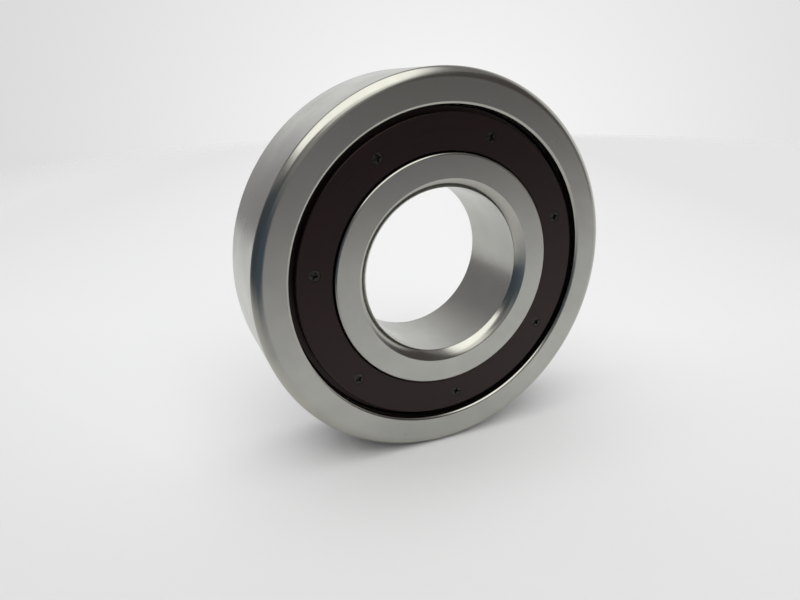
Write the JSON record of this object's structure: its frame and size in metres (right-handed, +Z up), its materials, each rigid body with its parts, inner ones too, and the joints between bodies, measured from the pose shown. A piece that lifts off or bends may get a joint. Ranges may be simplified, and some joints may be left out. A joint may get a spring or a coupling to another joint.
{
  "type": "deep groove ball bearing",
  "caption": "Open deep groove ball bearing: inner and outer steel rings with rounded corners, balls between them, and a dark solid cage in two riveted halves.",
  "frame": {"origin": "centre of the bore, halfway between the two faces", "axes": "+Y along the bearing's axis, towards the rear face; -Y towards the front, where the punched rivet ends show; +Z up, as the bearing stands on its rim"},
  "size_m": [0.08, 0.021, 0.08],
  "materials": {
    "ring_steel": "fine ground, satin, with bright turned corners",
    "ball_steel": "lapped, mirror bright",
    "cage_resin": "cotton-laminated phenolic resin, turned, dark reddish brown",
    "rivet_steel": "blackened steel"
  },
  "bodies": {
    "outer_ring": {"outer_ring": "ring_steel"},
    "inner_ring": {"inner_ring": "ring_steel"},
    "cage": {"cage_front_half": "cage_resin", "cage_rear_half": "cage_resin", "rivet_1": "rivet_steel", "rivet_2": "rivet_steel", "rivet_3": "rivet_steel", "rivet_4": "rivet_steel", "rivet_5": "rivet_steel", "rivet_6": "rivet_steel", "rivet_7": "rivet_steel"},
    "ball_1": {"ball_1": "ball_steel"},
    "ball_2": {"ball_2": "ball_steel"},
    "ball_3": {"ball_3": "ball_steel"},
    "ball_4": {"ball_4": "ball_steel"},
    "ball_5": {"ball_5": "ball_steel"},
    "ball_6": {"ball_6": "ball_steel"},
    "ball_7": {"ball_7": "ball_steel"}
  },
  "joints": [
    {"name": "inner_ring_spin", "type": "hinge", "parent": "outer_ring", "child": "inner_ring", "pos_m": [0, 0, 0], "axis": [0, 1, 0], "continuous": true},
    {"name": "cage_spin", "type": "hinge", "parent": "outer_ring", "child": "cage", "pos_m": [0, 0, 0], "axis": [0, 1, 0], "continuous": true},
    {"name": "ball_1_spin", "type": "hinge", "parent": "cage", "child": "ball_1", "pos_m": [0.02859, 0, -0.00306], "axis": [0, 1, 0], "continuous": true},
    {"name": "ball_2_spin", "type": "hinge", "parent": "cage", "child": "ball_2", "pos_m": [0.02021, 0, 0.02045], "axis": [0, 1, 0], "continuous": true},
    {"name": "ball_3_spin", "type": "hinge", "parent": "cage", "child": "ball_3", "pos_m": [-0.00338, 0, 0.02855], "axis": [0, 1, 0], "continuous": true},
    {"name": "ball_4_spin", "type": "hinge", "parent": "cage", "child": "ball_4", "pos_m": [-0.02443, 0, 0.01516], "axis": [0, 1, 0], "continuous": true},
    {"name": "ball_5_spin", "type": "hinge", "parent": "cage", "child": "ball_5", "pos_m": [-0.02708, 0, -0.00965], "axis": [0, 1, 0], "continuous": true},
    {"name": "ball_6_spin", "type": "hinge", "parent": "cage", "child": "ball_6", "pos_m": [-0.00934, 0, -0.02719], "axis": [0, 1, 0], "continuous": true},
    {"name": "ball_7_spin", "type": "hinge", "parent": "cage", "child": "ball_7", "pos_m": [0.01544, 0, -0.02426], "axis": [0, 1, 0], "continuous": true}
  ],
  "couplings": [
    {"joint": "cage_spin", "follows": "inner_ring_spin", "ratio": 0.37576},
    {"joint": "ball_1_spin", "follows": "inner_ring_spin", "ratio": -1.8879},
    {"joint": "ball_2_spin", "follows": "inner_ring_spin", "ratio": -1.8879},
    {"joint": "ball_3_spin", "follows": "inner_ring_spin", "ratio": -1.8879},
    {"joint": "ball_4_spin", "follows": "inner_ring_spin", "ratio": -1.8879},
    {"joint": "ball_5_spin", "follows": "inner_ring_spin", "ratio": -1.8879},
    {"joint": "ball_6_spin", "follows": "inner_ring_spin", "ratio": -1.8879},
    {"joint": "ball_7_spin", "follows": "inner_ring_spin", "ratio": -1.8879}
  ]
}
